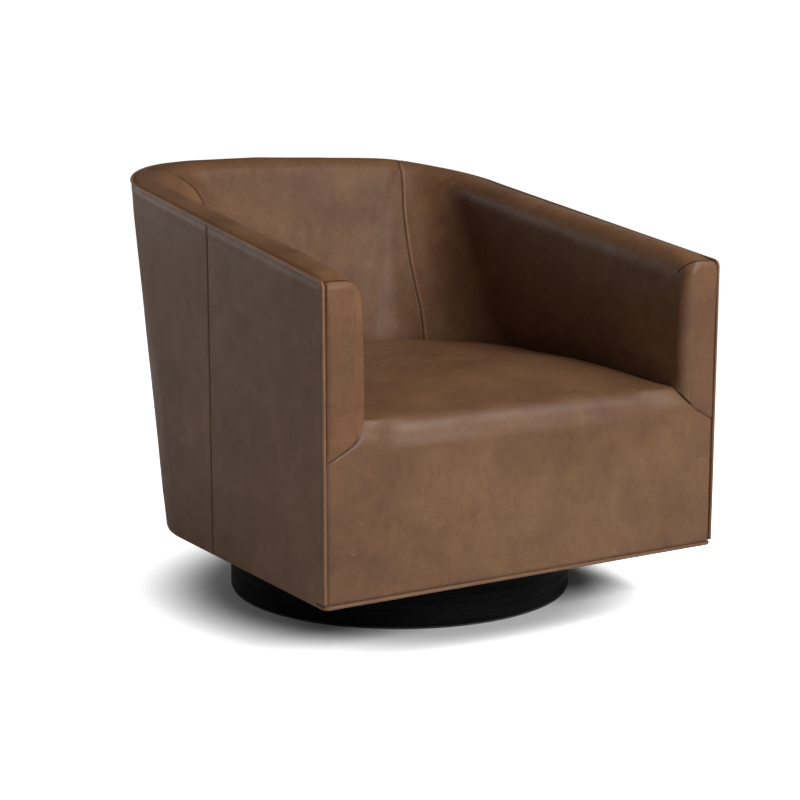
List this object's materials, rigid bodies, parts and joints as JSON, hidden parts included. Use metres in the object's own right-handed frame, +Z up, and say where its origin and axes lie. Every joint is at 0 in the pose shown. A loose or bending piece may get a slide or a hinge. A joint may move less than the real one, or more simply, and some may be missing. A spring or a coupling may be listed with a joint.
{
  "type": "swivel tub chair",
  "caption": "Leather tub chair with a raked barrel back, sloping padded arms and a crowned seat, turning on a ball race over a round black wood plinth.",
  "frame": {"origin": "on the floor at the swivel axis, in the plane of the felt ring under the plinth", "axes": "+Z up along the swivel axis, -Y the way the sitter looks, +X to the right of someone facing the chair's front"},
  "size_m": [0.763, 0.8796, 0.7543],
  "materials": {
    "felt": "matte",
    "black_wood": "satin",
    "plywood": "matte",
    "pine": "matte",
    "steel": "satin",
    "bolt_steel": "satin",
    "cage_plastic": "matte",
    "black_cloth": "matte",
    "beech": "matte",
    "foam": "matte",
    "webbing": "matte",
    "fibre_board": "matte",
    "leather": "satin",
    "piping_leather": "satin"
  },
  "bodies": {
    "base": {"floor_ring": "felt", "plinth_ring": "black_wood", "plinth_top": "plywood", "plinth_brace_long": "pine", "plinth_brace_cross": "pine", "glue_blocks": "pine", "swivel_base_plate": "steel", "swivel_pivot": "bolt_steel", "base_plate_bolts": "bolt_steel"},
    "ball_ring": {"bearing_balls": "bolt_steel", "ball_cage": "cage_plastic"},
    "chair": {"swivel_top_plate": "steel", "top_plate_screws": "bolt_steel", "dust_cover": "black_cloth", "swivel_bearers": "beech", "front_bottom_rail": "beech", "side_bottom_rails": "beech", "corner_bottom_rails": "beech", "back_bottom_rail": "beech", "corner_blocks": "beech", "seat_stub_legs": "beech", "front_posts": "beech", "rear_posts": "beech", "back_stiles": "beech", "front_seat_rail": "beech", "side_seat_rails": "beech", "corner_seat_rails": "beech", "back_seat_rail": "beech", "arm_rails": "beech", "corner_top_rails": "beech", "back_top_rail": "beech", "seat_springs": "bolt_steel", "spring_clips": "bolt_steel", "seat_deck_pad": "foam", "seat_foam": "foam", "arm_liners": "webbing", "back_webbing": "webbing", "arm_foam_left": "foam", "arm_foam_right": "foam", "back_foam": "foam", "front_panel_board": "plywood", "arm_face_boards": "plywood", "front_panel_pad": "foam", "arm_front_pads": "foam", "side_boards": "fibre_board", "back_board": "fibre_board", "seat_leather": "leather", "inside_back_leather": "leather", "arm_leather_left": "leather", "arm_leather_right": "leather", "outside_arm_leather_left": "leather", "outside_arm_leather_right": "leather", "outside_back_leather": "leather", "outline_piping": "piping_leather", "bottom_piping": "piping_leather"}
  },
  "joints": [
    {"name": "chair_swivel", "type": "hinge", "parent": "base", "child": "chair", "pos_m": [0, 0, 0], "axis": [0, 0, 1], "continuous": true},
    {"name": "ball_orbit", "type": "hinge", "parent": "base", "child": "ball_ring", "pos_m": [0, 0, 0], "axis": [0, 0, 1], "continuous": true}
  ],
  "couplings": [
    {"joint": "ball_orbit", "follows": "chair_swivel", "ratio": 0.5}
  ]
}
